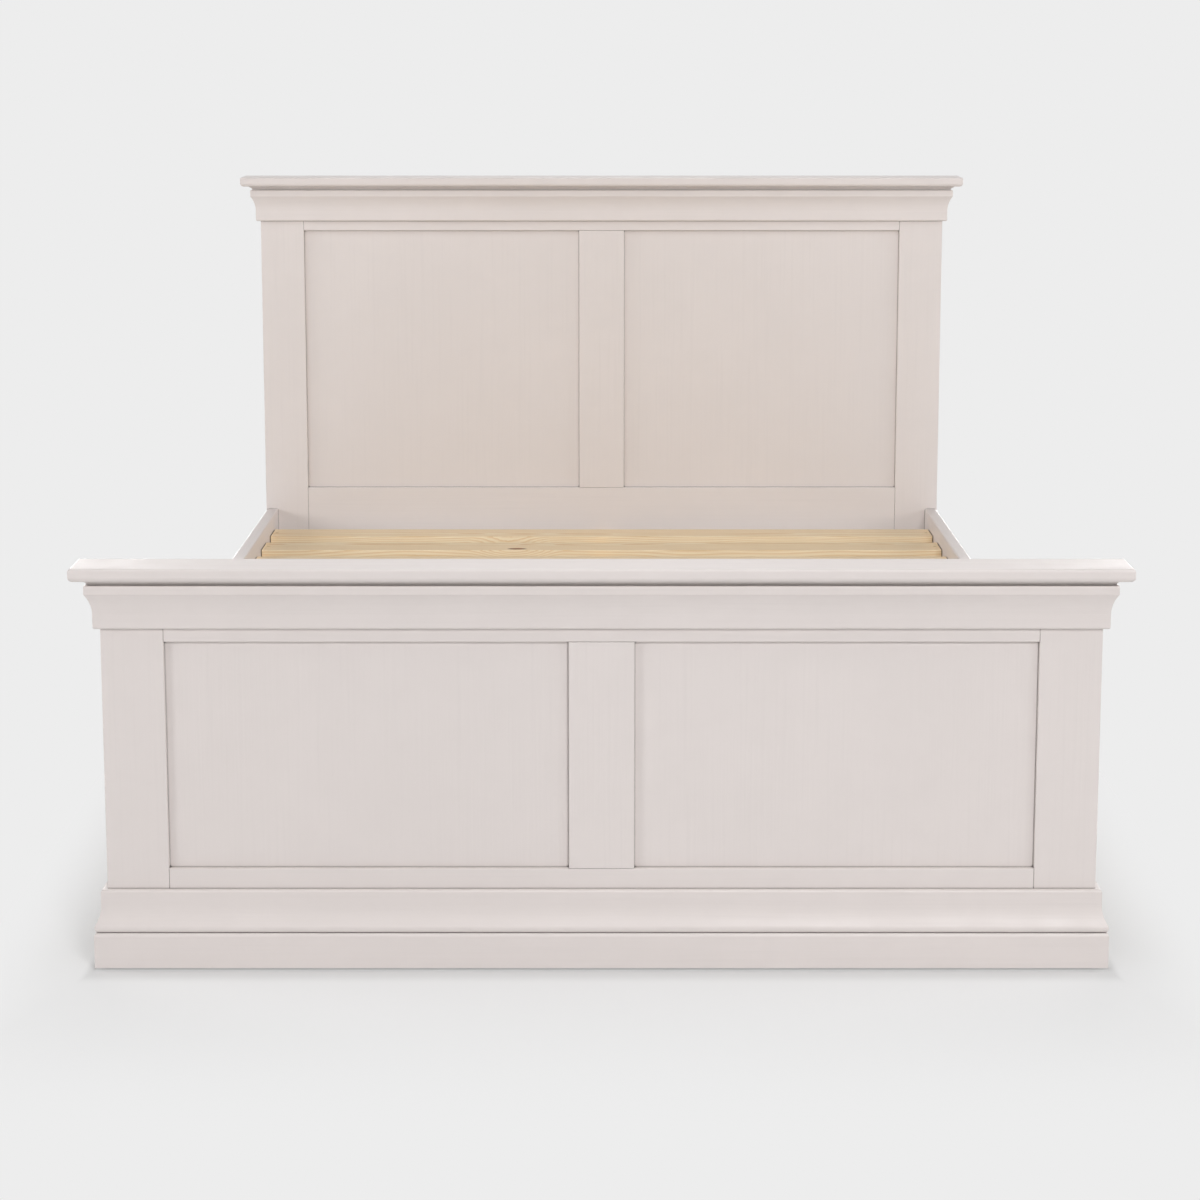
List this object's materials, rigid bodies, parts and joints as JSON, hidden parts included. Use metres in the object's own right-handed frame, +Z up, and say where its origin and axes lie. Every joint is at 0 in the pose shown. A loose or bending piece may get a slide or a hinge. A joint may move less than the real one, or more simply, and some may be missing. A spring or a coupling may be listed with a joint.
{
  "type": "bed frame",
  "caption": "Panelled wooden double bed frame with a moulded headboard and footboard, side rails, a slatted base and a centre rail on levelling legs.",
  "frame": {"origin": "on the floor under the middle of the bed's length and width", "axes": "+Y from the footboard to the headboard, +X to the right seen from the foot end, +Z up"},
  "size_m": [1.64, 2.142, 1.14],
  "materials": {
    "painted_wood": "smooth satin paint, warm pale grey",
    "pine": "planed and bare",
    "zinc_steel": "bright zinc plate",
    "yellow_zinc": "yellow zinc plate",
    "black_plastic": "moulded, fine matt",
    "beech": "fluted, bare"
  },
  "bodies": {
    "bed": {"head_left_post": "painted_wood", "head_right_post": "painted_wood", "head_top_rail": "painted_wood", "head_bottom_rail": "painted_wood", "head_muntin": "painted_wood", "head_left_panel": "painted_wood", "head_right_panel": "painted_wood", "head_cap": "painted_wood", "head_cornice_front": "painted_wood", "head_cornice_left": "painted_wood", "head_cornice_right": "painted_wood", "foot_left_post": "painted_wood", "foot_right_post": "painted_wood", "foot_top_rail": "painted_wood", "foot_bottom_rail": "painted_wood", "foot_muntin": "painted_wood", "foot_left_panel": "painted_wood", "foot_right_panel": "painted_wood", "foot_cap": "painted_wood", "foot_cornice_front": "painted_wood", "foot_cornice_left": "painted_wood", "foot_cornice_right": "painted_wood", "foot_base_front": "painted_wood", "foot_base_left": "painted_wood", "foot_base_right": "painted_wood", "foot_plinth_front": "painted_wood", "foot_plinth_left": "painted_wood", "foot_plinth_right": "painted_wood", "left_side_rail": "painted_wood", "right_side_rail": "painted_wood", "left_slat_ledger": "pine", "right_slat_ledger": "pine", "slat_01": "pine", "slat_02": "pine", "slat_03": "pine", "slat_04": "pine", "slat_05": "pine", "slat_06": "pine", "slat_07": "pine", "slat_08": "pine", "slat_09": "pine", "slat_10": "pine", "slat_11": "pine", "slat_12": "pine", "centre_rail": "pine", "front_centre_leg": "pine", "rear_centre_leg": "pine", "centre_rail_hangers": "zinc_steel", "corner_brackets": "zinc_steel", "bracket_bolts": "zinc_steel", "pan_screws": "zinc_steel", "foot_sleeves": "zinc_steel", "threaded_inserts": "yellow_zinc", "wood_screws": "yellow_zinc", "foot_glides": "black_plastic", "dowels": "beech"},
    "front_pad": {"front_foot_pad": "black_plastic"},
    "front_stem": {"front_foot_stem": "zinc_steel"},
    "rear_pad": {"rear_foot_pad": "black_plastic"},
    "rear_stem": {"rear_foot_stem": "zinc_steel"}
  },
  "joints": [
    {"name": "front_foot_travel", "type": "slide", "parent": "bed", "child": "front_pad", "axis": [0, 0, 1], "range_m": [-0.012, 0]},
    {"name": "front_foot_turn", "type": "hinge", "parent": "front_pad", "child": "front_stem", "pos_m": [0, -0.335, 0.02], "axis": [0, 0, 1], "range_deg": [-2880, 0]},
    {"name": "rear_foot_travel", "type": "slide", "parent": "bed", "child": "rear_pad", "axis": [0, 0, 1], "range_m": [-0.012, 0]},
    {"name": "rear_foot_turn", "type": "hinge", "parent": "rear_pad", "child": "rear_stem", "pos_m": [0, 0.335, 0.02], "axis": [0, 0, 1], "range_deg": [-2880, 0]}
  ],
  "couplings": [
    {"joint": "front_foot_turn", "follows": "front_foot_travel", "rad_per_m": 4188.8},
    {"joint": "rear_foot_turn", "follows": "rear_foot_travel", "rad_per_m": 4188.8}
  ]
}
